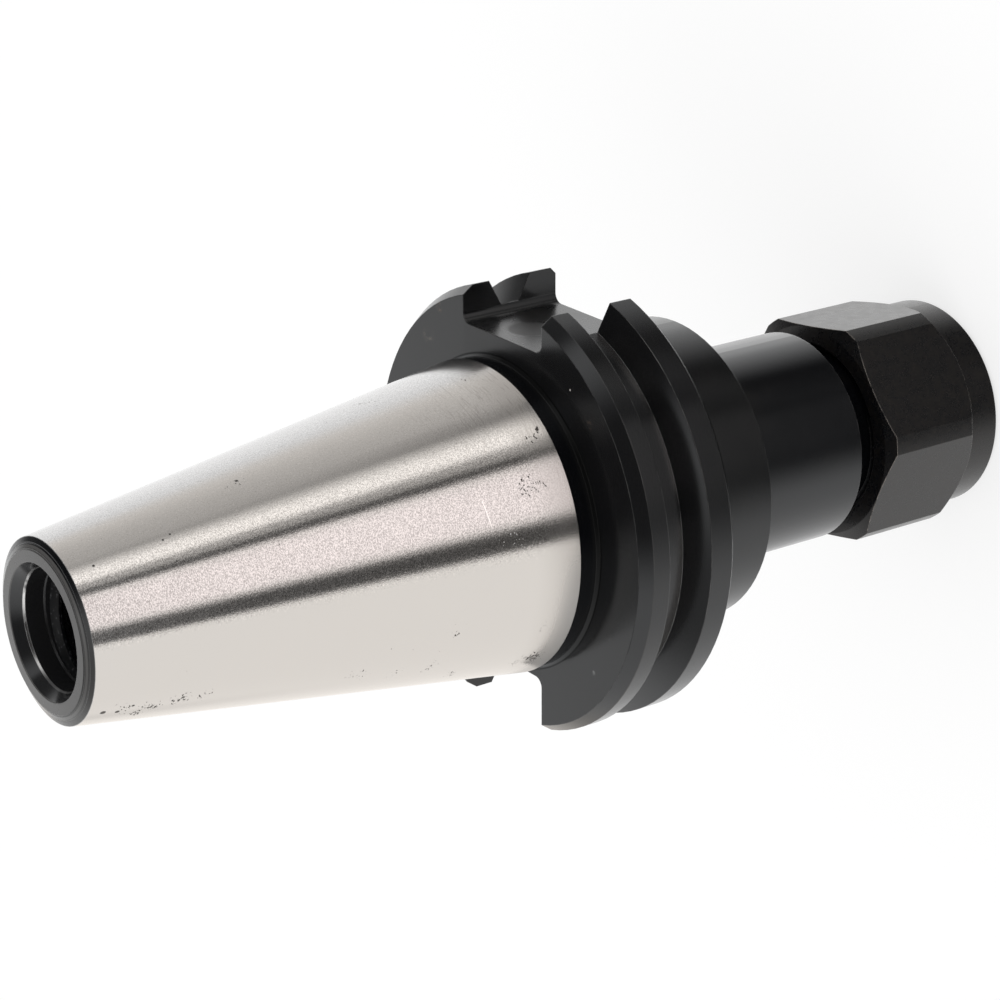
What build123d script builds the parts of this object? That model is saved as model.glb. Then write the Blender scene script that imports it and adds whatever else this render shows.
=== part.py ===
from build123d import *
from math import cos, radians, tan
import os

# Collet chuck holder with a 40-size steep taper, standing on the front face of its clamping nut.
# Millimetres. Z is the spindle axis and points up to the small end of the taper. Z = 0 is the gauge
# plane, where the taper has its gauge diameter. X runs through the two drive slots.
# Heights below the gauge plane are written as depths, so a depth of 19.05 is Z = -19.05.

# Steep taper
GAUGE_D = 44.45
TAPER_LENGTH = 68.25
TAPER_RATE = 7 / 24
END_FACE_D = 21.5
TAPER_END_CHAMFER = 0.8

# Neck between taper and flange
NECK_D = 44.0
NECK_CORNER = 0.4

# V-flange
FLANGE_D = 63.5
FLANGE_REAR = 3.175
FLANGE_FRONT = 19.05
FLANGE_REAR_CHAMFER = 1.15
FLANGE_REAR_CHAMFER_LENGTH = 1.7
FLANGE_FRONT_CHAMFER = 0.9
GROOVE_CENTRE = 11.11
GROOVE_WIDTH = 7.06
GROOVE_FLOOR_D = 56.36
GROOVE_FLANK_ANGLE = 30.0

# Drive slots, one on each side, cut to different distances from the axis
SLOT_WIDTH = 18.2
SHALLOW_SLOT_FLOOR = 25.3
DEEP_SLOT_FLOOR = 22.2
SLOT_CORNER_RADIUS = 1.4

# Collar and body in front of the flange
COLLAR_D = 44.1
COLLAR_FRONT = 33.55
COLLAR_CHAMFER = 0.25
COLLAR_CORNER = 0.5
BODY_D = 31.2
BODY_FRONT = 55.85

# Nut thread on the nose, whose front end is set back from the nut's face. Solids have the root of
# each thread, so that the crests have room.
NUT_THREAD_D = 25.4
NUT_THREAD_DEPTH = 0.65
THREAD_RELIEF_LENGTH = 2.4
THREAD_RELIEF_DEPTH = 0.5
NOSE_SETBACK = 6.6
NOSE_CHAMFER = 0.7

# Pull stud hole at the small end
PILOT_MOUTH_D = 18.4
PILOT_MOUTH_DEPTH = 1.75
PILOT_D = 16.2
PILOT_DEPTH = 4.4
STUD_THREAD_D = 15.875
STUD_THREAD_DEPTH = 34.0
DRILL_POINT_ANGLE = 118.0

# Bores along the axis
COOLANT_BORE_D = 9.0
STOP_THREAD_D = 12.0
STOP_THREAD_BACK = 5.0
STOP_THREAD_FRONT = 40.0
SHANK_BORE_D = 12.8
BORE_CHAMFER = 0.4

# Double-angle collet
COLLET_D = 19.5
COLLET_BORE_D = 9.525
COLLET_LENGTH = 30.0
COLLET_FRONT_D = 14.0
COLLET_FRONT_ANGLE = 30.0
COLLET_BACK_ANGLE = 8.0
COLLET_LAND = 2.5
COLLET_EDGE = 0.3
COLLET_BORE_CHAMFER = 0.5
SLOT_PAIRS = 4
SAW_WIDTH = 0.8
SAW_RADIUS = 16.0
SLOT_WEB = 5.0
COLLET_REST_TURN = 7.5

# Clamping nut, with a gap between it and the shoulder of the body
NUT_LENGTH = 23.05
BODY_TO_NUT_GAP = 4.3
NUT_ACROSS_FLATS = 31.75
NUT_CORNER_D = 35.2
NUT_BACK_INSET = 0.075
NUT_BACK_CHAMFER_ANGLE = 24.0
NUT_NOSE_D = 31.2
NUT_NOSE_LENGTH = 5.4
NUT_NOSE_CHAMFER_ANGLE = 45.0
NUT_FACE_CHAMFER = 0.65
NUT_LEAD_CHAMFER = 0.7
NUT_MOUTH_CHAMFER = 0.45
NUT_REST_TURN = -22.7

# Stop screw
STOP_LENGTH = 20.0
STOP_FRONT = 38.0
STOP_CHAMFER = 0.8
SOCKET_ACROSS_FLATS = 6.0
SOCKET_DEPTH = 8.0

# Clearances
SEAT_GAP = 0.10
THREAD_GAP = 0.05
COLLET_RECESS = 0.5
NOSE_TO_NUT_GAP = 0.5

# Radii and heights that follow from the sizes above
gauge_r = GAUGE_D / 2
flange_r = FLANGE_D / 2
collar_r = COLLAR_D / 2
body_r = BODY_D / 2
nose_r = NUT_THREAD_D / 2 - NUT_THREAD_DEPTH
nut_thread_r = NUT_THREAD_D / 2 + THREAD_GAP
collet_r = COLLET_D / 2
nut_back = BODY_FRONT + BODY_TO_NUT_GAP
nut_front = nut_back + NUT_LENGTH
nose_front = nut_front - NOSE_SETBACK
collet_front = nut_front - COLLET_RECESS
collet_back = collet_front - COLLET_LENGTH
front_cone_back = collet_front - (COLLET_D - COLLET_FRONT_D) / 2 / tan(radians(COLLET_FRONT_ANGLE))
back_cone_front = front_cone_back - COLLET_LAND


def taper_radius(height):
    """Radius of the steep taper at a height above the gauge plane."""
    return gauge_r - height * TAPER_RATE / 2


def collet_back_radius(depth, gap=0.0):
    """Radius of the collet's long back cone at a depth, with a gap measured square to the cone."""
    slope = radians(COLLET_BACK_ANGLE)
    return collet_r - (back_cone_front - depth) * tan(slope) + gap / cos(slope)


def collet_front_radius(depth, gap=0.0):
    """Radius of the collet's short front cone at a depth, with a gap measured square to the cone."""
    slope = radians(COLLET_FRONT_ANGLE)
    return COLLET_FRONT_D / 2 + (collet_front - depth) * tan(slope) + gap / cos(slope)


def drill_point(diameter):
    """Length of the cone that a drill of this diameter leaves."""
    return diameter / 2 / tan(radians(DRILL_POINT_ANGLE / 2))


# Holder body: outline from the small end, down the outside to the nose and back up the bore
groove_floor_r = GROOVE_FLOOR_D / 2
groove_half = GROOVE_WIDTH / 2
groove_floor_half = groove_half - (flange_r - groove_floor_r) * tan(radians(GROOVE_FLANK_ANGLE))
taper_end_r = taper_radius(TAPER_LENGTH - TAPER_END_CHAMFER)
neck_r = NECK_D / 2
relief_r = nose_r - THREAD_RELIEF_DEPTH
relief_front = BODY_FRONT + THREAD_RELIEF_LENGTH
shank_r = SHANK_BORE_D / 2
seat_back = back_cone_front - (collet_r + SEAT_GAP - shank_r) / tan(radians(COLLET_BACK_ANGLE))
stop_r = STOP_THREAD_D / 2
coolant_r = COOLANT_BORE_D / 2
stud_r = STUD_THREAD_D / 2
stud_point = drill_point(STUD_THREAD_D) - drill_point(COOLANT_BORE_D)
stop_point = drill_point(STOP_THREAD_D) - drill_point(COOLANT_BORE_D)
pilot_r = PILOT_D / 2

with BuildPart() as holder_body:
    with BuildSketch(Plane.XZ) as body_outline:
        with BuildLine():
            Polyline(
                (PILOT_MOUTH_D / 2, TAPER_LENGTH),
                (END_FACE_D / 2, TAPER_LENGTH),
                (taper_end_r, TAPER_LENGTH - TAPER_END_CHAMFER),
                (gauge_r, 0),
                (neck_r, neck_r - gauge_r),
                (neck_r, -FLANGE_REAR + NECK_CORNER),
                (neck_r + NECK_CORNER, -FLANGE_REAR),
                (flange_r - FLANGE_REAR_CHAMFER, -FLANGE_REAR),
                (flange_r, -FLANGE_REAR - FLANGE_REAR_CHAMFER_LENGTH),
                (flange_r, -GROOVE_CENTRE + groove_half),
                (groove_floor_r, -GROOVE_CENTRE + groove_floor_half),
                (groove_floor_r, -GROOVE_CENTRE - groove_floor_half),
                (flange_r, -GROOVE_CENTRE - groove_half),
                (flange_r, -FLANGE_FRONT + FLANGE_FRONT_CHAMFER),
                (flange_r - FLANGE_FRONT_CHAMFER, -FLANGE_FRONT),
                (collar_r + COLLAR_CORNER, -FLANGE_FRONT),
                (collar_r, -FLANGE_FRONT - COLLAR_CORNER),
                (collar_r, -COLLAR_FRONT + COLLAR_CHAMFER),
                (collar_r - COLLAR_CHAMFER, -COLLAR_FRONT),
                (body_r, -COLLAR_FRONT),
                (body_r, -BODY_FRONT),
                (relief_r, -BODY_FRONT),
                (relief_r, -relief_front),
                (nose_r, -relief_front - THREAD_RELIEF_DEPTH),
                (nose_r, -nose_front + NOSE_CHAMFER),
                (nose_r - NOSE_CHAMFER, -nose_front),
                (collet_back_radius(nose_front, SEAT_GAP), -nose_front),
                (shank_r, -seat_back),
                (shank_r, -STOP_THREAD_FRONT),
                (stop_r, -STOP_THREAD_FRONT + BORE_CHAMFER),
                (stop_r, -STOP_THREAD_BACK),
                (coolant_r, -STOP_THREAD_BACK + stop_point),
                (coolant_r, TAPER_LENGTH - STUD_THREAD_DEPTH - stud_point),
                (stud_r, TAPER_LENGTH - STUD_THREAD_DEPTH),
                (stud_r, TAPER_LENGTH - PILOT_DEPTH - (pilot_r - stud_r)),
                (pilot_r, TAPER_LENGTH - PILOT_DEPTH),
                (pilot_r, TAPER_LENGTH - PILOT_MOUTH_DEPTH),
                close=True,
            )
        make_face()
    revolve(axis=Axis.Z)

    # Drive slots right through both rims of the flange, with round corners at the floor
    for side, floor in ((1, SHALLOW_SLOT_FLOOR), (-1, DEEP_SLOT_FLOOR)):
        slot_height = flange_r - floor + SLOT_CORNER_RADIUS
        with BuildSketch(Plane.XY.offset(-FLANGE_FRONT)):
            with Locations((side * (floor + slot_height / 2), 0)):
                slot_end = Rectangle(slot_height, SLOT_WIDTH)
            inner_corners = slot_end.vertices().group_by(Axis.X)[0 if side > 0 else -1]
            fillet(inner_corners, SLOT_CORNER_RADIUS)
        extrude(amount=FLANGE_FRONT - FLANGE_REAR, mode=Mode.SUBTRACT)


# Clamping nut: a turned blank with its bore, cut down to a hexagon
nut_corner_r = NUT_CORNER_D / 2
nut_back_r = NUT_ACROSS_FLATS / 2 - NUT_BACK_INSET
nut_nose_r = NUT_NOSE_D / 2
back_chamfer = (nut_corner_r - nut_back_r) * tan(radians(NUT_BACK_CHAMFER_ANGLE))
front_chamfer = (nut_corner_r - nut_nose_r) / tan(radians(NUT_NOSE_CHAMFER_ANGLE))
nut_shoulder = nose_front + NOSE_TO_NUT_GAP
nut_mouth_r = collet_front_radius(nut_front - NUT_MOUTH_CHAMFER, SEAT_GAP)
nut_nose_back = nut_front - NUT_NOSE_LENGTH

with BuildPart() as clamping_nut:
    with BuildSketch(Plane.XZ):
        with BuildLine():
            Polyline(
                (nut_thread_r + NUT_LEAD_CHAMFER, -nut_back),
                (nut_back_r, -nut_back),
                (nut_corner_r, -nut_back - back_chamfer),
                (nut_corner_r, -nut_nose_back + front_chamfer),
                (nut_nose_r, -nut_nose_back),
                (nut_nose_r, -nut_front + NUT_FACE_CHAMFER),
                (nut_nose_r - NUT_FACE_CHAMFER, -nut_front),
                (nut_mouth_r + NUT_MOUTH_CHAMFER, -nut_front),
                (nut_mouth_r, -nut_front + NUT_MOUTH_CHAMFER),
                (collet_front_radius(nut_shoulder, SEAT_GAP), -nut_shoulder),
                (nut_thread_r, -nut_shoulder),
                (nut_thread_r, -nut_back - NUT_LEAD_CHAMFER),
                close=True,
            )
        make_face()
    revolve(axis=Axis.Z)
    with BuildSketch(Plane.XY.offset(-nut_front)):
        RegularPolygon(NUT_ACROSS_FLATS / 2, 6, major_radius=False, rotation=NUT_REST_TURN)
    extrude(amount=NUT_LENGTH, mode=Mode.INTERSECT)


# Collet: two opposed cones on one bore, sawn from both ends in turn
with BuildPart() as collet:
    with BuildSketch(Plane.XZ):
        with BuildLine():
            Polyline(
                (COLLET_BORE_D / 2 + COLLET_BORE_CHAMFER, -collet_front),
                (COLLET_FRONT_D / 2, -collet_front),
                (collet_r, -front_cone_back),
                (collet_r, -back_cone_front),
                (collet_back_radius(collet_back + COLLET_EDGE), -collet_back - COLLET_EDGE),
                (collet_back_radius(collet_back + COLLET_EDGE) - COLLET_EDGE, -collet_back),
                (COLLET_BORE_D / 2, -collet_back),
                (COLLET_BORE_D / 2, -collet_front + COLLET_BORE_CHAMFER),
                close=True,
            )
        make_face()
    revolve(axis=Axis.Z)

    # Each slot ends in the arc that the saw leaves, a web short of the far end
    slot_length = COLLET_LENGTH - SLOT_WEB
    for i in range(2 * SLOT_PAIRS):
        from_front = i % 2 == 0
        start = -collet_front if from_front else -collet_back
        way = 1 if from_front else -1
        turn = COLLET_REST_TURN + i * 180 / SLOT_PAIRS
        with BuildSketch(Plane.XZ.rotated((0, 0, turn))):
            with BuildLine():
                saw_top = start + way * slot_length
                saw_low = (COLLET_D, saw_top)
                RadiusArc((0, saw_top - way * SAW_RADIUS / 8), saw_low, -way * SAW_RADIUS)
                Polyline(
                    saw_low,
                    (COLLET_D, start - way),
                    (0, start - way),
                    (0, saw_top - way * SAW_RADIUS / 8),
                )
            make_face()
        extrude(amount=SAW_WIDTH / 2, both=True, mode=Mode.SUBTRACT)


# Stop screw: set in its thread behind the collet, with a hexagon socket at the back
screw_r = stop_r - THREAD_GAP
stop_back = STOP_FRONT - STOP_LENGTH

with BuildPart() as stop_screw:
    with BuildSketch(Plane.XZ):
        with BuildLine():
            Polyline(
                (0, -STOP_FRONT),
                (screw_r - STOP_CHAMFER, -STOP_FRONT),
                (screw_r, -STOP_FRONT + STOP_CHAMFER),
                (screw_r, -stop_back - STOP_CHAMFER),
                (screw_r - STOP_CHAMFER, -stop_back),
                (0, -stop_back),
                close=True,
            )
        make_face()
    revolve(axis=Axis.Z)
    with BuildSketch(Plane.XY.offset(-stop_back)):
        RegularPolygon(SOCKET_ACROSS_FLATS / 2, 6, major_radius=False)
    extrude(amount=-SOCKET_DEPTH, mode=Mode.SUBTRACT)


holder_body.part.label = "holder_body"
clamping_nut.part.label = "clamping_nut"
collet.part.label = "collet"
stop_screw.part.label = "stop_screw"

os.makedirs("parts", exist_ok=True)
export_step(holder_body.part, "parts/holder_body.step")
export_step(clamping_nut.part, "parts/clamping_nut.step")
export_step(collet.part, "parts/collet.step")
export_step(stop_screw.part, "parts/stop_screw.step")
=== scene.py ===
import math

import bpy
import numpy as np
from mathutils import Matrix, Vector


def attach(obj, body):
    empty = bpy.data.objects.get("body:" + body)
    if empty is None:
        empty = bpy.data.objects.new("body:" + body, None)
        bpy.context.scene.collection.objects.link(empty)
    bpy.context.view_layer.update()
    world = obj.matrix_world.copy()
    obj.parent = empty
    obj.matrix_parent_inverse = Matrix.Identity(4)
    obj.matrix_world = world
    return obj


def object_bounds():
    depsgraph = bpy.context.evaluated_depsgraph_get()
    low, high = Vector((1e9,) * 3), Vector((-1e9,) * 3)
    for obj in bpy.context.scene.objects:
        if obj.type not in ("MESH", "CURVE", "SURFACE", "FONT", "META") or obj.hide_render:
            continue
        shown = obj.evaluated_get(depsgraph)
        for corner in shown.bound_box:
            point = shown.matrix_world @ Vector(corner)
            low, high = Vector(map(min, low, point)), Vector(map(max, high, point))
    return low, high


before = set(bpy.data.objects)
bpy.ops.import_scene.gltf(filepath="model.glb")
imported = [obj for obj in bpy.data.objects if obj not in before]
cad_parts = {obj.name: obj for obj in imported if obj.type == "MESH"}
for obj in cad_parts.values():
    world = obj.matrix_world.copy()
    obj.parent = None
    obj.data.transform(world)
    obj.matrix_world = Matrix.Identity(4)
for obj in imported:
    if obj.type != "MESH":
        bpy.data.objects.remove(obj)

cad_low, cad_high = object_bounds()

# Camera. It looks down on the standing holder from the side of its shallow drive slot and is rolled,
# so that the small end of the taper comes out at the left of the picture and nearest to the eye.
eye = Vector((0.1516, -0.3189, 0.2248))
picture_up = Vector((0.934053, 0.287352, -0.212071))
toward_eye = Vector((0.357095, -0.760355, 0.542535))
picture_right = picture_up.cross(toward_eye).normalized()
picture_up = toward_eye.cross(picture_right).normalized()

lens = bpy.data.cameras.new("picture_lens")
lens.sensor_width = 36.0
lens.lens = 108.94
lens.clip_start = 0.01
camera = bpy.data.objects.new("picture_camera", lens)
turn = Matrix((picture_right, picture_up, toward_eye.normalized())).transposed()
camera.matrix_world = Matrix.Translation(eye) @ turn.to_4x4()
bpy.context.scene.collection.objects.link(camera)
bpy.context.scene.camera = camera
bpy.context.scene.view_settings.view_transform = "Standard"


# Studio. A white tent with two black strips between its panels and a grey card, and an open side low in
# front, which the bright taper and the blackened body mirror as bands along their length.
class Wire:
    """One output socket in a node tree. Python's operators on it add Math nodes."""

    def __init__(self, tree, socket=None):
        self.tree = tree
        self.socket = socket

    def make(self, kind, settings=None, inputs=None, out=0):
        """Adds a node: its settings first, then the values or wires of its sockets. Returns one output."""
        node = self.tree.nodes.new(kind)
        for name, value in (settings or {}).items():
            setattr(node, name, value)
        for name, value in (inputs or {}).items():
            if isinstance(value, Wire):
                self.tree.links.new(value.socket, node.inputs[name])
            else:
                node.inputs[name].default_value = value
        return Wire(self.tree, node.outputs[out] if len(node.outputs) else None)

    def maths(self, operation, first, second=0.0):
        return self.make("ShaderNodeMath", {"operation": operation}, {0: first, 1: second})

    def __add__(self, other):
        return self.maths("ADD", self, other)

    def __radd__(self, other):
        return self.maths("ADD", other, self)

    def __sub__(self, other):
        return self.maths("SUBTRACT", self, other)

    def __rsub__(self, other):
        return self.maths("SUBTRACT", other, self)

    def __mul__(self, other):
        return self.maths("MULTIPLY", self, other)

    def __rmul__(self, other):
        return self.maths("MULTIPLY", other, self)

    def __truediv__(self, other):
        return self.maths("DIVIDE", self, other)

    def __rtruediv__(self, other):
        return self.maths("DIVIDE", other, self)

    def __pow__(self, other):
        return self.maths("POWER", self, other)

    def __abs__(self):
        return self.maths("ABSOLUTE", self)

    def step(self, low, high):
        """Smooth rise from 0 at low to 1 at high, or fall where low is the larger."""
        return self.make(
            "ShaderNodeMapRange",
            {"interpolation_type": "SMOOTHSTEP"},
            {"Value": self, "From Min": low, "From Max": high},
        )

    def near(self, centre, half, soft):
        """1 within half of the centre, falling to 0 over soft on each side."""
        return abs(self - centre).step(half + soft, half)

    def most(self, other):
        return self.maths("MAXIMUM", self, other)

    def mix(self, low, high):
        """Colour between two colours, with this wire as the factor."""
        return self.make(
            "ShaderNodeMix",
            {"data_type": "RGBA", "clamp_factor": True},
            {0: self, 6: low, 7: high},
            out=2,
        )

    def parts(self):
        """The three numbers of a vector."""
        cut = self.make("ShaderNodeSeparateXYZ", inputs={0: self}).socket.node
        return [Wire(self.tree, cut.outputs[i]) for i in range(3)]

    def round_axis(self):
        """A vector's three numbers, and how far it is from the Z axis."""
        x, y, z = self.parts()
        return x, y, z, (x * x + y * y) ** 0.5

    def apart_from(self, point):
        """How far a vector is from a point."""
        return self.make(
            "ShaderNodeVectorMath", {"operation": "DISTANCE"}, {0: self, 1: point}, out="Value"
        )

    def stretch(self, sizes):
        """A vector times three numbers."""
        return self.make("ShaderNodeVectorMath", {"operation": "MULTIPLY"}, {0: self, 1: sizes})

    def grain(self, sizes, detail=2.0, rough=0.5):
        """Noise on this vector, with so many grains per unit along each axis."""
        inputs = {"Vector": self.stretch(sizes), "Scale": 1.0, "Detail": detail, "Roughness": rough}
        return self.make("ShaderNodeTexNoise", inputs=inputs, out="Fac")


WHITE = (1.0, 1.0, 1.0, 1.0)
PANEL_LEVEL = 1.05
SOFT_LEVEL = 0.9
studio = bpy.data.worlds.new("white_tent")
bpy.context.scene.world = studio
studio.use_nodes = True
studio.node_tree.nodes.clear()
tent = Wire(studio.node_tree)
way = tent.make("ShaderNodeTexCoord", out="Generated")
east, north, high = way.parts()
bearing = tent.maths("ARCTAN2", north, east) * (180 / math.pi)
climb = tent.maths("ARCSINE", high) * (180 / math.pi)

# Panels at eye level: black strips at two bearings, a grey card beside the second, a soft lamp between.
# Bearings and climbs are in degrees
strip_one = bearing.step(-95.2, -92.2) * bearing.step(-73.0, -81.0) * climb.step(-34.0, -28.0)
strip_two = bearing.step(-38.3, -35.3) * bearing.step(-27.0, -30.5)
strip_two = strip_two.most(0.62 * bearing.near(-26.0, 2.0, 3.5))
grey_card = 0.52 * bearing.step(-13.0, 1.0) * bearing.step(80.0, 5.0)
card_edge = bearing.near(0.5, 0.5, 4.5)
card_foot = bearing.near(3.0, 3.0, 9.0) * climb.step(-15.0, -21.0)
dim_seam = bearing.near(158.0, 2.0, 10.0) * climb.step(-23.0, -19.0)
between = bearing.near(-57.0, 9.0, 11.0) * climb.near(-14.0, 2.0, 5.0)
beside_card = bearing.near(-15.5, 1.5, 7.0)
panels = PANEL_LEVEL - 0.98 * strip_one.most(strip_two) - grey_card - 0.10 * card_edge - 0.24 * card_foot
panels = panels - 0.14 * dim_seam + 0.22 * between + 0.22 * beside_card

# Below them: the open side in front, darkest to the right of the camera
open_side = bearing.step(-130.0, -88.0) * bearing.step(46.0, 6.0)
darkest = bearing.step(-26.0, -14.0) * bearing.step(20.0, 4.0)
bright_cloth = bearing.near(70.0, 8.0, 20.0)
dim_left = bearing.near(-135.0, 10.0, 50.0)
skirt = PANEL_LEVEL - 0.96 * open_side - 0.07 * darkest + 0.45 * bright_cloth - 0.10 * dim_left

# Above them: dark over the camera and to its right, dim all round under the top panel
over_camera = bearing.near(-64.0, 28.0, 34.0) * climb.step(2.0, 18.0)
to_the_right = bearing.step(2.0, 14.0) * bearing.step(112.0, 88.0) * climb.step(2.0, 18.0)
under_top = climb.step(25.0, 50.0) * climb.step(88.0, 62.0)
round_the_top = climb.step(85.0, 65.0)
ceiling = (1.0 - 0.95 * over_camera * round_the_top) * (1.0 - 0.92 * to_the_right * round_the_top)
ceiling = ceiling * (1.0 - 0.7 * under_top)

shaded_foot = 1.0 - 0.5 * darkest * climb.step(-31.0, -35.0)
level = skirt + (panels - skirt) * climb.step(-38.0, -29.0) * shaded_foot
level = level + (ceiling - level) * climb.step(-8.0, 2.0)

# The panels are a warm white, and rosier between the strips
warm = climb.step(-33.5, -29.0) * climb.step(0.0, -8.0) * bearing.near(84.0, 20.0, 30.0).step(1.0, 0.0)
tint = warm.mix(WHITE, (1.0, 0.950, 0.895, 1.0))
tint = (warm * bearing.near(-57.0, 12.0, 12.0)).mix(tint, (1.0, 0.905, 0.880, 1.0))

# Reflections see the panels. Matt surfaces get one even light, and behind the object all is plain white
is_camera = tent.make("ShaderNodeLightPath", out="Is Camera Ray")
is_glossy = tent.make("ShaderNodeLightPath", out="Is Glossy Ray")
is_through = tent.make("ShaderNodeLightPath", out="Is Transmission Ray")
seen = SOFT_LEVEL + (level - SOFT_LEVEL) * is_glossy
seen = seen + (1.0 - seen) * is_camera.most(is_through)
seen_tint = is_glossy.mix(WHITE, tint)
backing = tent.make("ShaderNodeBackground", inputs={"Color": seen_tint, "Strength": seen})
tent.make("ShaderNodeOutputWorld", inputs={"Surface": backing})

lamp_data = bpy.data.lights.new("soft_box", "AREA")
lamp_data.shape = "RECTANGLE"
lamp_data.size = 0.6
lamp_data.size_y = 0.4
lamp_data.energy = 1.6
lamp = bpy.data.objects.new("soft_box", lamp_data)
lamp.location = (-0.35, -0.55, 0.75)
lamp.rotation_euler = (-lamp.location).to_track_quat("-Z", "Y").to_euler()
lamp.visible_glossy = False
bpy.context.scene.collection.objects.link(lamp)


# Floor. A pale disc under the nut's face. It keeps the shadow, and metal mirrors the tent through it.
def add_mesh(name, points, faces):
    """A new object in the scene, with these points in metres and each face a list of corners."""
    mesh = bpy.data.meshes.new(name)
    mesh.from_pydata(points.tolist(), [], faces)
    thing = bpy.data.objects.new(name, mesh)
    bpy.context.scene.collection.objects.link(thing)
    return thing


def disc(name, radius, height, count=128):
    """A flat round face: points at radius * (cos, sin) of evenly spaced angles, at one height."""
    angle = np.linspace(0.0, 2 * np.pi, count, endpoint=False)
    points = np.column_stack([radius * np.cos(angle), radius * np.sin(angle), np.full(count, height)])
    return add_mesh(name, points, [list(range(count))])


floor = disc("floor", 1.5, cad_low[2] - 0.0001)
pale = bpy.data.materials.new("pale_floor")
pale.use_nodes = True
pale.node_tree.nodes.clear()
wire = Wire(pale.node_tree)
floor_camera = wire.make("ShaderNodeLightPath", out="Is Camera Ray")
floor_glossy = wire.make("ShaderNodeLightPath", out="Is Glossy Ray")
pale_colour = floor_camera.mix((0.9, 0.9, 0.9, 1.0), (0.32, 0.32, 0.32, 1.0))
matt = wire.make("ShaderNodeBsdfDiffuse", inputs={"Color": pale_colour})
lift = wire.make("ShaderNodeEmission", inputs={"Color": WHITE, "Strength": 0.70 * floor_camera})
lit = wire.make("ShaderNodeAddShader", inputs={0: matt, 1: lift})
clear = wire.make("ShaderNodeBsdfTransparent")
seen_floor = wire.make("ShaderNodeMixShader", inputs={0: floor_glossy, 1: lit, 2: clear})
wire.make("ShaderNodeOutputMaterial", inputs={"Surface": seen_floor})
floor.data.materials.append(pale)


# Holder body. One piece of hardened steel, turned and milled and blackened all over, with its edges and
# faces a little rubbed by use; its edges are also lightened as painted highlights, and its small end has
# painted light. Only the steep taper is ground bright afterwards.
def start_finish(name):
    """A material with an empty tree. Returns it, its wire and the place on the piece in millimetres."""
    finish = bpy.data.materials.new(name)
    finish.use_nodes = True
    finish.node_tree.nodes.clear()
    wire = Wire(finish.node_tree)
    place = wire.make("ShaderNodeTexCoord", out="Object").stretch((1000.0, 1000.0, 1000.0))
    return finish, wire, place


def end_finish(wire, colour, metal, rough, height, depth, refraction=1.5, gloss_tint=WHITE):
    """The surface shader. The height is a bump of this depth in metres, on softened edges."""
    soft_edge = wire.make("ShaderNodeBevel", {"samples": 6}, {"Radius": 0.00018})
    bump = wire.make(
        "ShaderNodeBump", inputs={"Strength": 1.0, "Distance": depth, "Height": height, "Normal": soft_edge}
    )
    surface = wire.make(
        "ShaderNodeBsdfPrincipled",
        inputs={
            "Base Color": colour,
            "Metallic": metal,
            "Roughness": rough,
            "IOR": refraction,
            "Specular Tint": gloss_tint,
            "Normal": bump,
        },
    )
    wire.make("ShaderNodeOutputMaterial", inputs={"Surface": surface})


def edge_mask(wire):
    """Near 1 on sharp edges: how far a normal softened over the edge leans from the true one."""
    round_off = wire.make("ShaderNodeBevel", {"samples": 6}, {"Radius": 0.00022})
    true = wire.make("ShaderNodeNewGeometry", out="True Normal")
    lean = wire.make(
        "ShaderNodeVectorMath", {"operation": "DOT_PRODUCT"}, {0: round_off, 1: true}, out="Value"
    )
    return (1.0 - lean).step(0.03, 0.22)


def blackening(place, clouds_per_mm=0.12):
    """Oil-blacked steel: near black, browner in soft clouds. Returns the colour and the clouds."""
    clouds = place.grain((clouds_per_mm,) * 3, detail=4.0, rough=0.6)
    brown = clouds.step(0.50, 0.72)
    fine = place.grain((2.2, 2.2, 2.2), detail=3.0, rough=0.6)
    black = fine.mix((0.0016, 0.0018, 0.0026, 1.0), (0.0038, 0.0041, 0.0050, 1.0))
    return (brown * 0.35).mix(black, (0.0075, 0.0058, 0.0048, 1.0)), clouds


def facing(x, y, radius, side):
    """How far a wall round the axis faces a side, given as (x, y): 1 towards it, -1 away from it."""
    return (x * side[0] + y * side[1]) / radius


TAPER_GAUGE_R = 22.225
TAPER_SLOPE = 7 / 48
TAPER_TOP_Z = 67.44
body_finish, wire, place = start_finish("blackened_body_with_ground_taper")
x, y, z, radius = place.round_axis()

# The collar is an even black, and the flange and the pull stud hole are greyer
black, clouds = blackening(place)
collar = z.step(-19.3, -19.7) * z.step(-33.6, -33.2) * radius.step(21.5, 21.9)
black = collar.mix(black, (0.0030, 0.0031, 0.0034, 1.0))
flange = z.step(-19.6, -19.0) * z.step(-2.0, -2.4)
black = (flange * 0.6).mix(black, (0.0072, 0.0071, 0.0072, 1.0))
inside = radius.step(9.4, 9.2) * z.step(30.0, 32.0)
black = (inside * 0.8).mix(black, (0.016, 0.016, 0.0165, 1.0))

# The end face and the bevel round it keep their turning marks, and each has painted light: lighter on one
# side, where the light falls. The edge of the hole's mouth is bare from wear, with a painted highlight
end_face = z.step(68.05, 68.2) * radius.step(9.0, 9.15)
bevel = z.step(TAPER_TOP_Z, TAPER_TOP_Z + 0.06) * radius.step(10.70, 10.80)
# Painted light: the end face is lighter on one side and darker on the other
end_lit_side = facing(x, y, radius, (-0.34, 0.94))
end_marks = wire.make(
    "ShaderNodeTexNoise",
    {"noise_dimensions": "1D"},
    {"W": radius * 7.0, "Scale": 1.0, "Detail": 2.0, "Roughness": 0.6},
)
worn_end_and_painted_light = end_lit_side.step(-1.3, 1.1).mix((0.060, 0.058, 0.056, 1.0), (0.118, 0.115, 0.112, 1.0))
black = end_face.mix(black, worn_end_and_painted_light)
land = radius.near(11.22, 0.14, 0.10)
black = (bevel * land).mix(black, (0.075, 0.073, 0.071, 1.0))
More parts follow.
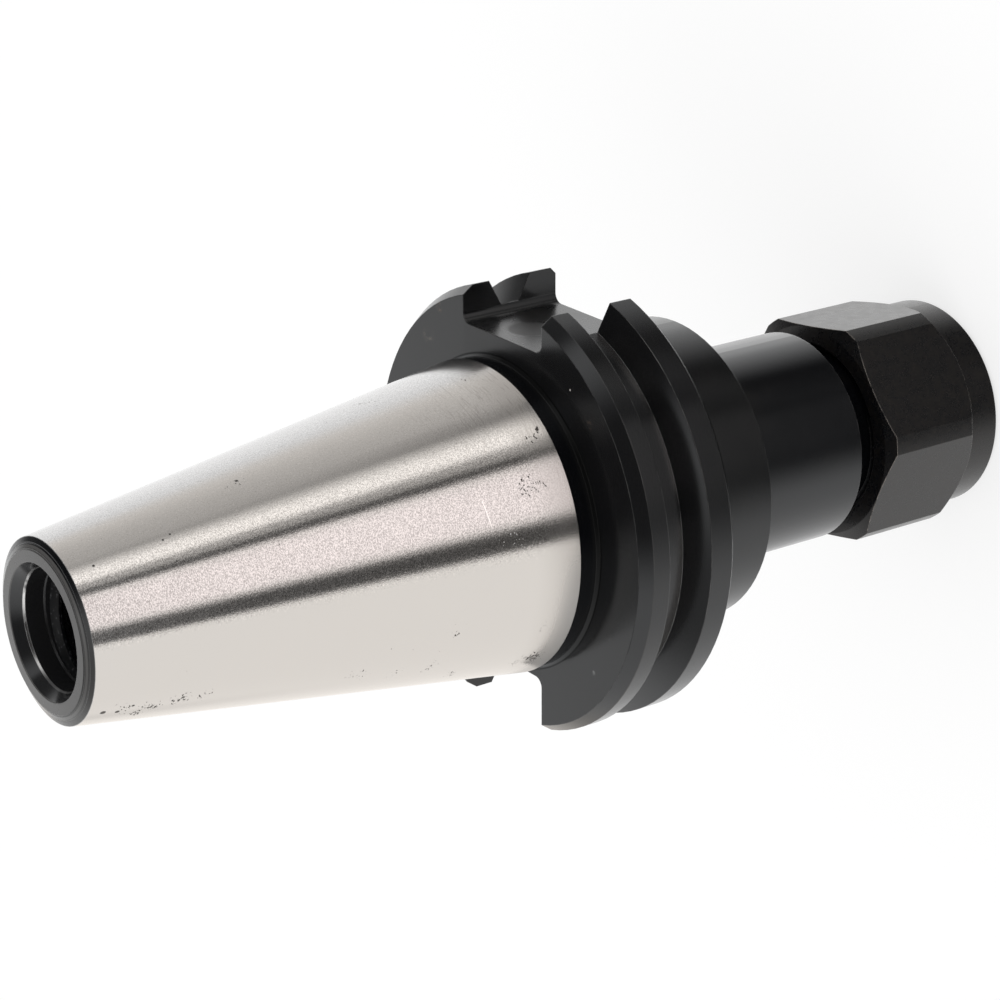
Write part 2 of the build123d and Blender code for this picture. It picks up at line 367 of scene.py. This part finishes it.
# Painted light: the bevel is lighter on one side
bevel_lit_side = facing(x, y, radius, (-0.87, -0.5))
black = (bevel * (1.0 - land) * bevel_lit_side.step(-0.5, 0.8)).mix(black, (0.036, 0.035, 0.034, 1.0))
turned_lines = radius.near(10.84, 0.05, 0.09).most(radius.near(11.62, 0.03, 0.07)) * bevel
# The mouth's edge is partly bare steel from wear and partly a painted highlight: it is bared mostly on the
# side where the highlight falls
mouth_edge = z.near(66.62, 0.10, 0.10) * radius.step(9.0, 8.8)
mouth_highlight_side = facing(x, y, radius, (-0.17, 0.98))
mouth_wear_and_highlight = 0.10 + 0.90 * mouth_highlight_side.step(0.45, 0.80) * place.grain((0.35, 0.35, 0.8)).step(0.25, 0.45)
mouth_wear_and_highlight = mouth_wear_and_highlight * mouth_edge
black = mouth_wear_and_highlight.mix(black, (0.75, 0.74, 0.73, 1.0))

# The slots' milled floors are duller, and the shallow one shows where the cutter stood
slot_floor = abs(y).step(9.2, 8.8) * z.step(-2.9, -3.3) * radius.step(27.6, 26.6) * z.step(-19.2, -18.8)
cutter_mark = place.apart_from((25.3, 1.0, -8.7)).step(3.3, 2.7)

# Light scuffs on the flange's rear face: centre, reach in millimetres and colour
scuffs = [
    ((21.1, 17.7, -3.2), 1.7, (0.10, 0.085, 0.07, 1.0)),
    ((26.0, 15.0, -3.2), 1.0, (0.13, 0.08, 0.05, 1.0)),
    ((18.3, -19.3, -3.2), 1.3, (0.055, 0.040, 0.030, 1.0)),
    ((22.1, -15.5, -3.2), 0.22, (0.80, 0.75, 0.70, 1.0)),
    ((-16.9, -21.0, -3.2), 0.5, (0.20, 0.20, 0.20, 1.0)),
    ((-10.4, -24.6, -3.2), 0.5, (0.14, 0.14, 0.14, 1.0)),
]
scuff_noise = place.grain((1.3, 0.6, 1.0), detail=3.0)
rear_face = z.step(-3.4, -3.2) * flange
for centre, reach, scuff_colour in scuffs:
    scuff = place.apart_from(centre).step(reach, reach * 0.2) * scuff_noise.step(0.40, 0.62) * rear_face
    black = (scuff * 0.8).mix(black, scuff_colour)

# Edges: partly wear and partly painted highlight, every sharp edge lightened towards bare steel
edges = edge_mask(wire) * place.grain((0.5, 0.5, 0.5), detail=4.0).step(0.36, 0.62)
black = (edges * 0.75).mix(black, (0.22, 0.215, 0.21, 1.0))

# Under the skin that the next section adds, the cone is plain ground steel. The corner at the neck's foot
# keeps a fine dark line of painted shade
off_taper = radius - TAPER_GAUGE_R + z * TAPER_SLOPE
ground_part = z.step(-0.12, 0.0) * z.step(67.50, 67.42) * off_taper.step(-0.9, -0.6)
colour = ground_part.mix(black, (0.64, 0.635, 0.625, 1.0))
neck_corner_shade = z.near(-3.0, 0.30, 0.06) * radius.step(22.65, 22.55) * radius.step(21.6, 21.9)
colour = (neck_corner_shade * 0.8).mix(colour, (0.020, 0.020, 0.020, 1.0))
metal = ground_part.most(edges * 0.6 * (1.0 - ground_part)).most(mouth_wear_and_highlight).most(end_face * 0.35)
metal = metal.most(neck_corner_shade * 0.8)
milled = slot_floor * (0.09 + cutter_mark * 0.14)
black_rough = 0.13 + clouds * 0.10 + collar * 0.03 + end_face * 0.10 + milled
fine_grain = place.grain((3.0, 3.0, 3.0), detail=2.0)
black_height = fine_grain * 0.25 + end_marks * end_face * 0.5 - turned_lines * 4.0
end_finish(
    wire,
    colour,
    metal,
    black_rough,
    black_height,
    0.000008,
    refraction=1.6,
    gloss_tint=(0.97, 0.985, 1.0, 1.0),
)
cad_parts["holder_body"].material_slots[0].material = body_finish


# Taper. The bright cone that seats in the spindle, turned here as a thin skin on the solid's own cone.
# It is ground round its axis, and small pits and rust marks have got into it since.
def turned_ring(name, outline, count=360):
    """A closed ring turned about Z. Point = (r cos a, r sin a, z) for each corner (r, z) of the outline,
    in millimetres, at evenly spaced angles a. The outline runs so that its outside is on its right."""
    angle = np.linspace(0.0, 2 * np.pi, count, endpoint=False)
    r, h = np.array(outline).T
    cols = len(r)
    heights = np.broadcast_to(h, (count, cols))
    points = np.stack([np.outer(np.cos(angle), r), np.outer(np.sin(angle), r), heights], axis=-1) / 1000.0
    i, j = np.meshgrid(np.arange(count), np.arange(cols), indexing="ij")
    i2, j2 = (i + 1) % count, (j + 1) % cols
    quads = np.stack([i * cols + j, i2 * cols + j, i2 * cols + j2, i * cols + j2], axis=-1).reshape(-1, 4)
    ring = add_mesh(name, points.reshape(-1, 3), quads.tolist())
    ring.data.shade_smooth()
    ring.data.set_sharp_from_angle(angle=math.radians(30))
    return ring


SKIN_OUT = 0.015
SKIN_IN = 0.1
TAPER_TOP_R = TAPER_GAUGE_R - TAPER_TOP_Z * TAPER_SLOPE
ground_taper = turned_ring(
    "ground_taper",
    [
        (TAPER_GAUGE_R + SKIN_OUT, 0.0),
        (TAPER_TOP_R + SKIN_OUT, TAPER_TOP_Z),
        (TAPER_TOP_R - SKIN_IN, TAPER_TOP_Z),
        (TAPER_GAUGE_R - SKIN_IN, 0.0),
    ],
)
taper_finish, wire, place = start_finish("ground_steel")
x, y, z, radius = place.round_axis()

# Ground steel: faint lines round the taper, and grains that sparkle a little all round and, as painted
# glints, most along the sides that face the light. It is duller beside the neck
lines = place.grain((0.05, 0.05, 11.0), detail=3.0, rough=0.7)
grains = place.grain((4.6, 4.6, 6.0), detail=2.0, rough=0.6)
mottle = place.grain((0.09, 0.09, 0.05), detail=3.0)
steel = mottle.mix((0.645, 0.645, 0.645, 1.0), (0.675, 0.670, 0.665, 1.0))
steel = lines.step(0.30, 0.62).mix(steel, (0.66, 0.655, 0.65, 1.0))
glint_side = facing(x, y, radius, (0.545, -0.839)).step(0.87, 0.97) * 0.78
glint_side = glint_side.most(facing(x, y, radius, (0.97, 0.24)).step(0.80, 1.0) * 0.36)
glint_side = glint_side.most(facing(x, y, radius, (0.82, -0.57)).step(0.70, 0.95) * 0.20)
# Painted glints: the grains' light and dark specks are strongest on the sides where the light falls
sparkle = (grains - 0.5) * (glint_side + 0.07)
steel = sparkle.step(0.0, 0.11).mix(steel, (0.86, 0.842, 0.838, 1.0))
steel = sparkle.step(0.0, -0.11).mix(steel, (0.46, 0.448, 0.446, 1.0))
near_neck = z.step(7.0, 1.0)
steel = (near_neck * 0.8).mix(steel, (0.545, 0.535, 0.525, 1.0))
streaks = place.grain((0.4, 0.4, 4.5), detail=2.0, rough=0.6)
streaked = facing(x, y, radius, (0.86, -0.50)).step(0.80, 0.97) * z.step(24.0, 4.0)
steel = (streaks.step(0.52, 0.66) * streaked * 0.40).mix(steel, (0.40, 0.385, 0.375, 1.0))
dull_rim = z.step(4.5, 0.5) * facing(x, y, radius, (-0.766, -0.643)).step(0.45, 0.85)

# Pits and rust marks. First clusters: centre, reach in millimetres and strength
pit_clusters = [
    ((21.6, -2.2, 3.8), 2.6, 0.75),
    ((16.5, -14.4, 2.2), 1.4, 1.0),
    ((11.3, -18.1, 6.2), 3.3, 0.86),
    ((11.8, -18.4, 3.4), 1.6, 0.8),
    ((13.7, -14.7, 14.6), 1.7, 0.7),
    ((14.8, -13.3, 15.8), 1.3, 0.6),
    ((-14.3, -16.4, 3.4), 2.8, 1.2),
    ((-15.6, -15.0, 6.0), 2.2, 0.8),
    ((-9.1, -19.5, 4.6), 2.2, 0.7),
    ((-6.4, -18.7, 17.0), 2.1, 0.75),
    ((-15.1, -13.1, 15.0), 2.4, 0.85),
    ((-12.2, -15.1, 19.4), 2.0, 0.8),
    ((-12.0, -14.4, 24.5), 2.2, 0.7),
    ((-10.9, -14.2, 30.0), 2.8, 0.7),
    ((19.6, 2.1, 17.4), 2.6, 0.7),
    ((15.6, -3.8, 42.0), 2.4, 0.7),
    ((-8.4, -10.0, 62.6), 1.9, 1.15),
    ((-8.8, -10.4, 59.0), 2.2, 1.0),
    ((-8.5, -11.3, 55.4), 2.2, 1.0),
    ((-8.6, -11.8, 52.0), 2.2, 0.9),
    ((-9.6, -9.4, 60.5), 1.8, 1.1),
    ((-5.0, 20.4, 8.0), 2.4, 0.9),
    ((-17.6, 11.0, 4.0), 2.0, 0.9),
    ((9.5, 10.5, 55.0), 2.2, 0.8),
]

# Their places stray a little, so that no cluster is round
pit_noise = place.grain((2.2, 2.2, 3.2), detail=3.0, rough=0.6)
drift = wire.make(
    "ShaderNodeTexNoise",
    inputs={"Vector": place.stretch((0.45, 0.45, 0.45)), "Scale": 1.0, "Detail": 2.0},
    out="Color",
)
drift = wire.make("ShaderNodeVectorMath", {"operation": "SUBTRACT"}, {0: drift, 1: (0.5, 0.5, 0.5)})
strayed = wire.make(
    "ShaderNodeVectorMath", {"operation": "ADD"}, {0: place, 1: drift.stretch((5.0, 5.0, 5.0))}
)
falloffs = [
    strayed.apart_from(centre).step(reach * 1.25, 0.0) * strength
    for centre, reach, strength in pit_clusters
]
cluster = falloffs[0]
for falloff in falloffs[1:]:
    cluster = cluster.most(falloff)
pits = (pit_noise + cluster * 0.27).step(0.775, 0.82)

# Then single pits, centre and radius in millimetres, and specks anywhere
single_pits = [
    ((10.6, -7.3, 64.3), 0.22),
    ((12.3, -7.5, 53.5), 0.20),
    ((11.9, -7.8, 54.7), 0.20),
    ((9.8, -10.4, 54.3), 0.20),
    ((-8.2, -9.7, 65.4), 0.48),
    ((-8.6, -9.7, 63.4), 0.40),
    ((-8.0, -10.7, 61.6), 0.30),
    ((6.0, 17.2, 30.0), 0.25),
    ((-14.1, 2.2, 56.0), 0.25),
]
for centre, pit_r in single_pits:
    pits = pits.most(place.apart_from(centre).step(pit_r, pit_r * 0.6))
pits = pits.most(place.grain((1.5, 1.5, 2.2), detail=2.0).step(0.775, 0.80))
steel = pits.mix(steel, (0.050, 0.042, 0.036, 1.0))

# One bright scratch, and a few nicks near it
SCRATCH_X = 8.9
SCRATCH_Z = 12.4
scratch_line = abs(z - SCRATCH_Z - (x - SCRATCH_X) * 0.12).step(0.10, 0.04)
scratch = scratch_line * place.apart_from((SCRATCH_X, -18.4, SCRATCH_Z)).step(2.1, 1.7)
near_nicks = place.apart_from((6.0, -19.9, 9.6)).step(2.6, 1.0)
nicks = near_nicks * place.grain((2.4, 2.4, 2.4), detail=1.0).step(0.66, 0.70)
steel = scratch.most(nicks).mix(steel, (0.98, 0.97, 0.96, 1.0))

# The grinding lines run round the taper, so its gloss is spread along the axis
ground_bump = wire.make(
    "ShaderNodeBump",
    inputs={"Strength": 1.0, "Distance": 0.000008, "Height": lines * 0.12 + grains * 0.75},
)
taper_rough = 0.110 + grains * 0.07 + near_neck * 0.05 + dull_rim * 0.22 + pits * 0.4 + nicks * 0.5
surface = wire.make(
    "ShaderNodeBsdfPrincipled",
    inputs={
        "Base Color": steel,
        "Metallic": 1.0 - pits,
        "Roughness": taper_rough,
        "Anisotropic": 0.6,
        "Anisotropic Rotation": 0.25,
        "Normal": ground_bump,
    },
)
wire.make("ShaderNodeOutputMaterial", inputs={"Surface": surface})
ground_taper.data.materials.append(taper_finish)
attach(ground_taper, "holder")


# Pull stud thread. Cut 5/8-11 in the small end, blackened. The solid's wall is its root, so the ridge
# stands on that wall and reaches inwards to the crest.
def thread_ridge(name, root, crest, pitch, low, high, base, flat, sides=96):
    """A right-handed thread's ridge, in millimetres.
    Height = low + pitch * turns, radius = root + (crest - root) * profile * fade. The profile is a
    trapezium of width base at the root and width flat at the crest, and the fade rises over the first
    and last third of a turn. The foot is sunk a little into the wall."""
    fade_turns = 0.33
    sink = 0.03
    turns = (high - low) / pitch
    angle = np.linspace(0.0, 2 * np.pi * turns, int(sides * turns) + 1)
    from_end = np.minimum(angle, angle[-1] - angle) / (2 * np.pi)
    fade = np.clip(from_end / fade_turns, 0.02, 1.0)
    sunk = sink * np.sign(root - crest)
    across = np.array([-base / 2, -base / 2, -flat / 2, flat / 2, base / 2, base / 2])
    rise = np.array([0.0, 0.0, 1.0, 1.0, 0.0, 0.0])
    foot = np.array([sunk, 0.0, 0.0, 0.0, 0.0, sunk])
    r = root + foot[None, :] + (crest - root) * rise[None, :] * fade[:, None]
    h = low + pitch * angle[:, None] / (2 * np.pi) + across[None, :]
    points = np.stack([r * np.cos(angle)[:, None], r * np.sin(angle)[:, None], h], axis=-1) / 1000.0
    rows, cols = r.shape
    i, j = np.meshgrid(np.arange(rows - 1), np.arange(cols), indexing="ij")
    k = (j + 1) % cols
    quads = np.stack([i * cols + j, i * cols + k, (i + 1) * cols + k, (i + 1) * cols + j], axis=-1)
    quads = quads.reshape(-1, 4)
    if crest < root:
        quads = quads[:, ::-1]
    first = list(range(cols))
    last = [(rows - 1) * cols + n for n in range(cols)]
    ends = [first[::-1], last] if crest > root else [first, last[::-1]]
    ridge = add_mesh(name, points.reshape(-1, 3), quads.tolist() + ends)
    ridge.data.shade_smooth()
    ridge.data.set_sharp_from_angle(angle=math.radians(25))
    return ridge


thread_finish, wire, place = start_finish("blackened_thread")
black, _ = blackening(place, 0.3)
cut = place.grain((1.2, 1.2, 5.0), detail=3.0)
chips = place.grain((2.4, 2.4, 3.2), detail=2.0).step(0.60, 0.70)
black = (chips * 0.6).mix(black, (0.085, 0.085, 0.09, 1.0))
rubbed = edge_mask(wire) * cut.step(0.40, 0.60)
black = (rubbed * 0.25).mix(black, (0.10, 0.095, 0.09, 1.0))
end_finish(wire, black, rubbed * 0.2, 0.30 + cut * 0.20, cut, 0.00001, refraction=1.4)

stud_thread = thread_ridge(
    "pull_stud_thread", root=7.9375, crest=6.76, pitch=25.4 / 11, low=36.2, high=63.1, base=1.85, flat=0.48
)
stud_thread.data.materials.append(thread_finish)
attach(stud_thread, "holder")


# Nose thread. The clamping nut runs on it. It is cut 16 turns to the inch in the same blackened steel,
# 25.4 mm across its crests, and the solid has its root.
nose_thread = thread_ridge(
    "nose_thread", root=12.05, crest=12.70, pitch=25.4 / 16, low=-75.2, high=-61.2, base=1.10, flat=0.30
)
nose_thread.data.materials.append(thread_finish)
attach(nose_thread, "holder")


# Stop screw. A blackened set screw behind the collet, turned in with a key through the pull stud hole.
# Its thread is a bump that winds round the plain solid.
SCREW_PITCH = 1.75
screw_finish, wire, place = start_finish("blackened_set_screw")
black, clouds = blackening(place, 0.3)
x, y, z, radius = place.round_axis()
turn_share = wire.maths("ARCTAN2", y, x) * (1 / (2 * math.pi))
wind = wire.maths("PINGPONG", z * (1 / SCREW_PITCH) - turn_share, 0.5)
thread_height = wind * radius.step(5.6, 5.8) * 2.0
end_finish(wire, black, 0.0, 0.30 + clouds * 0.1, thread_height, 0.0003, refraction=1.6)
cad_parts["stop_screw"].material_slots[0].material = screw_finish


# Collet. Spring steel, ground on both its cones and sawn into fingers. It isn't blackened, and has a
# few stains.
collet_finish, wire, place = start_finish("ground_spring_steel")
lines = place.grain((0.08, 0.08, 12.0), detail=3.0, rough=0.7)
grains = place.grain((3.0, 3.0, 4.0), detail=3.0)
spots = place.grain((0.25, 0.25, 0.25), detail=5.0, rough=0.65).step(0.55, 0.75)
steel = lines.step(0.3, 0.65).mix((0.40, 0.395, 0.385, 1.0), (0.56, 0.555, 0.545, 1.0))
steel = (spots * 0.35).mix(steel, (0.30, 0.27, 0.23, 1.0))
end_finish(wire, steel, 1.0, 0.20 + grains * 0.12 + spots * 0.1, lines * 0.5 + grains * 0.6, 0.000008)
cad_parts["collet"].material_slots[0].material = collet_finish


# Clamping nut. Milled from bar and blackened, a little browner than the body, with its corners rubbed
# bare by the wrench.
nut_finish, wire, place = start_finish("blackened_nut")
x, y, z, radius = place.round_axis()
black, _ = blackening(place, 0.22)
blotches = place.grain((0.7, 0.7, 0.7), detail=4.0, rough=0.62)
specks = place.grain((4.4, 4.4, 4.4), detail=2.0)
black = (blotches.step(0.42, 0.66) * 0.6).mix(black, (0.0050, 0.0040, 0.0032, 1.0))
black = (specks.step(0.58, 0.66) * 0.5).mix(black, (0.022, 0.018, 0.015, 1.0))
bare = edge_mask(wire) * blotches.step(0.38, 0.58) * radius.step(15.0, 15.6)
black = (bare * 0.95).mix(black, (0.52, 0.47, 0.43, 1.0))
end_finish(
    wire,
    black,
    bare * 0.85,
    0.19 + blotches * 0.14 + specks * 0.05 - bare * 0.05,
    blotches * 0.4 + specks * 0.2,
    0.000012,
    refraction=1.53,
    gloss_tint=(1.0, 0.975, 0.955, 1.0),
)
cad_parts["clamping_nut"].material_slots[0].material = nut_finish
